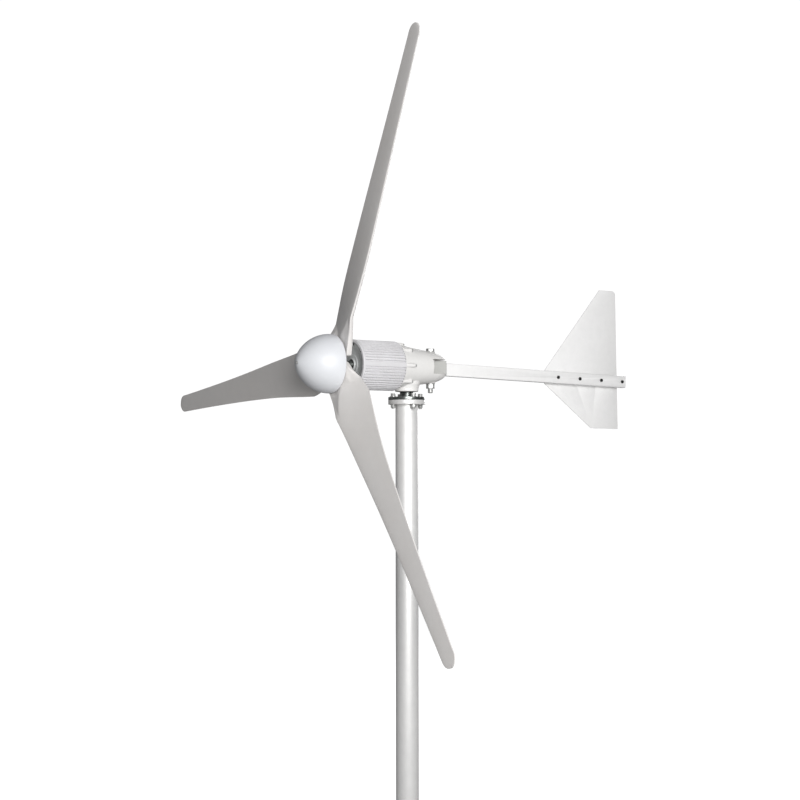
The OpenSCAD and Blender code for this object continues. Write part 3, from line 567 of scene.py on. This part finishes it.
def foil_share(r, x):
    """0 on the flat pad, 1 past the crease, which runs further out towards the leading edge."""
    start = FLAT_R - FLAT_LEAN * max(0, abs(x) - FLAT_W)
    end = CREASE_R + CREASE_LEAN * abs(x) + CREASE_CURVE * max(0, x) ** 2
    return clip(max(0, r - start) / (end - start)) ** 1.3


def half_thick(x):
    """The four-digit aerofoil's half thickness, at x from the leading edge, for a foil 1 thick."""
    return 5 * (0.2969 * math.sqrt(x) - 0.126 * x - 0.3516 * x ** 2 + 0.2843 * x ** 3 - 0.1036 * x ** 4)


def blade_ring(r, count):
    """One section: a flat pad at the hub that turns into an aerofoil further out."""
    k = max(0, r - TIP_R + TIP_ROUND) / TIP_ROUND
    shrink = math.sqrt(max(0.004, 1 - k * k))
    lead, trail = lead_edge(r) * shrink, trail_edge(r) * shrink
    thick = THICK_SHARE * chord(max(r, WIDE_R)) * (1 - TIP_THINNING * r / TIP_R) * (0.3 + 0.7 * shrink)
    turn = Matrix.Rotation(-twist(r), 2)
    ring = []
    for i in range(count):
        a = -2 * math.pi * i / count
        x = (1 - math.cos(a)) / 2
        side = FRONT_SHARE if math.sin(a) >= 0 else BACK_SHARE
        skin = thick * (side * half_thick(x) - CAMBER_SHIFT) + math.copysign(THIN_EDGE * x, side)
        foil = turn @ Vector((lead - (lead + trail) * x, skin))
        pad = Vector(((lead - trail) / 2 + (lead + trail) / 2 * clip(1.25 * math.cos(a)),
                      PAD_T / 2 * clip(1.9 * math.sin(a))))
        point = pad.lerp(foil, foil_share(r, pad.x))
        ring.append(Vector((point.x, point.y, r)))
    return ring


def blade_radii(inner_steps=44, outer_steps=70):
    """Where the sections stand: close together at the root and round the tip."""
    inner = [ROOT_IN + (WIDE_R - ROOT_IN) * i / inner_steps for i in range(inner_steps)]
    outer = [WIDE_R + (TIP_R - TIP_ROUND - WIDE_R) * i / outer_steps for i in range(outer_steps + 1)]
    tip = [TIP_R - TIP_ROUND * (1 - math.sin(a)) for a in quarter(14)[1:]]
    return inner + outer + tip


def add_blade(node, turn):
    """One blade, turned round the rotor axis by that many degrees."""
    bm = loft([blade_ring(r, 96) for r in blade_radii()])
    place = Matrix.Translation((0, ROTOR_Y, AXIS_Z)) @ Matrix.Rotation(math.radians(turn), 4, "Y")
    bmesh.ops.transform(bm, matrix=place, verts=bm.verts)
    add_piece(node + "_shell", mesh_from(bm, node + "_shell"), node, 50)


for number in range(3):
    add_blade(f"blade_{number + 1}", FIRST_TURN + 120 * number)


# ------------------------------------------------------------------ nose cone

def add_nose():
    """A pointed dome with a rounded rim, hollow, with a flange inside and a hole for its screw."""
    wide_y = NOSE_BACK - 8 * MM
    length = wide_y - NOSE_TIP
    wall, tip_wall, rim_r = 3 * MM, 7 * MM, 3 * MM
    hole, hole_chamfer = 6.5 * MM, 0.6 * MM
    flange_r, flange_t = 89 * MM, 5 * MM
    point, steps = 1.3, 56

    def dome(radius, reach, first):
        start = math.asin((first / radius) ** (1 / point))
        return [(radius * math.sin(a) ** point, wide_y - reach * math.cos(a))
                for a in (start + (math.pi / 2 - start) * i / steps for i in range(steps + 1))]

    outside = dome(NOSE_R, length, hole + hole_chamfer)
    rim = [(NOSE_R - rim_r + rim_r * math.cos(a), NOSE_BACK - rim_r + rim_r * math.sin(a))
           for a in quarter(8)]
    inside = dome(NOSE_R - wall, length - tip_wall, hole)[::-1]
    flange_y = NOSE_BACK - flange_t
    flange = [(flange_r, NOSE_BACK), (flange_r, flange_y), (NOSE_R - wall, flange_y)]
    bm = lathe(outside + rim + flange + inside, 192)
    add_piece("nose_cone_shell", mesh_from(bm, "nose_cone_shell"), "nose_cone", 40)


add_nose()


# ------------------------------------------------------------------ generator housing

FIN_ROOT = 90 * MM
FIN_COUNT = 52
FIN_HALF, RIB_HALF = 2.7 * MM, 10 * MM
FIN_DRAFT = 0.6 * MM
FIN_FILLET = 0.9 * MM
FIN_BELOW_RING = 0.4 * MM


def ridge(centre, half_w, top):
    """Points of one fin as (radius, angle): fillets at its foot, tapered sides and a rounded top."""
    side = [(FIN_ROOT + FIN_FILLET * (1 - math.cos(a)), half_w + FIN_FILLET * (1 - math.sin(a)))
            for a in quarter(3)]
    side += [(top - FIN_FILLET * (1 - math.sin(a)), half_w - FIN_DRAFT - FIN_FILLET * (1 - math.cos(a)))
             for a in quarter(4)]
    left = [(r, centre - w / r) for r, w in side]
    right = [(r, centre + w / r) for r, w in reversed(side)]
    return left + right


def fin_outline():
    """The whole cross-section of the fins and the two side ribs, as (radius, angle)."""
    pitch = 2 * math.pi / FIN_COUNT
    ridges = [(0.0, RIB_HALF), (math.pi, RIB_HALF)]
    for i in range(FIN_COUNT):
        a = (i + 0.5) * pitch
        if abs(math.sin(a)) > (RIB_HALF + FIN_HALF) / HOUSING_R:
            ridges.append((a, FIN_HALF))
    top = HOUSING_R - FIN_BELOW_RING
    outline = []
    for centre, half in sorted(ridges):
        outline += ridge(centre, half, top)
    return outline


def add_housing():
    """The finned barrel, with a plain ring at its front and a seat for the front cover."""
    outline = fin_outline()
    front, rear = HOUSING_FRONT, HOUSING_REAR
    ring_w, edge = 10 * MM, 1.2 * MM
    seat_r, seat_y, bore = 86.5 * MM, 18 * MM, 80 * MM

    def around(radius, y):
        return [Vector((radius * math.cos(a), y, AXIS_Z + radius * math.sin(a))) for _, a in outline]

    def finned(y, shrink=0.0):
        return [Vector(((r - shrink) * math.cos(a), y, AXIS_Z + (r - shrink) * math.sin(a)))
                for r, a in outline]

    ring_back = front + ring_w
    rings = [around(bore, rear), around(bore, front + seat_y), around(seat_r, front + seat_y),
             around(seat_r, front + edge), around(seat_r + edge, front)]
    rings += [around(HOUSING_R - edge + edge * math.sin(a), front + edge - edge * math.cos(a))
              for a in quarter(6)]
    rings += [around(HOUSING_R - edge + edge * math.cos(a), ring_back - edge + edge * math.sin(a))
              for a in quarter(4)]
    rings += [finned(ring_back), finned((ring_back + rear) / 2), finned(rear - 0.4 * MM),
              finned(rear, 0.4 * MM)]
    bm = loft(rings, close_ends=False)
    bm.verts.ensure_lookup_table()
    count = len(outline)
    last = bm.verts[-count:]
    first = bm.verts[:count]
    for i in range(count):
        bm.faces.new((last[i], last[(i + 1) % count], first[(i + 1) % count], first[i]))
    add_piece("generator_housing_fins", mesh_from(bm, "generator_housing_fins"), "generator_housing", 35)


add_housing()


# ------------------------------------------------------------------ casting

def add_casting():
    """The casting's own shape with the soft edges and fillets that a sand mould leaves."""
    mesh = frame["nodes"]["nacelle_casting"].data.copy()
    piece = add_piece("nacelle_casting_skin", mesh, "nacelle_casting")
    remesh = piece.modifiers.new("grain", "REMESH")
    remesh.mode = "VOXEL"
    remesh.voxel_size = 1.3 * MM
    soften = piece.modifiers.new("soften", "SMOOTH")
    soften.factor = 0.5
    soften.iterations = 12
    mesh = apply_modifiers(piece)
    mesh.shade_smooth()


add_casting()


# ------------------------------------------------------------------ edges of the other visible parts

EASED = {
    "mast_base_flange": 1.0, "mast_tube": 0.8, "mast_top_flange": 1.0, "yaw_spindle": 0.8,
    "flange_bolts": 0.7, "flange_washers": 0.35, "flange_nuts": 0.7,
    "casting_bolts": 0.4, "generator_front_cover": 0.6, "front_cover_screws": 0.4,
    "generator_rear_shield": 0.4, "main_shaft": 0.5,
    "hub_spider": 0.8, "hub_front_plate": 0.6, "blade_bolts": 0.5, "blade_nuts": 0.5,
    "nose_cone_screw": 0.35,
    "tail_hinge_block": 1.4, "tail_boom": 0.5, "boom_end_cap": 0.9, "tail_vane": 0.6,
    "tail_vane_bolts": 0.5, "tail_vane_nuts": 0.4,
    "tail_pin": 0.8, "tail_pin_nut": 0.8, "tail_pin_washers": 0.4, "tail_stop_buffer": 0.8,
}
for node_name, ease in EASED.items():
    eased(node_name, ease * MM)
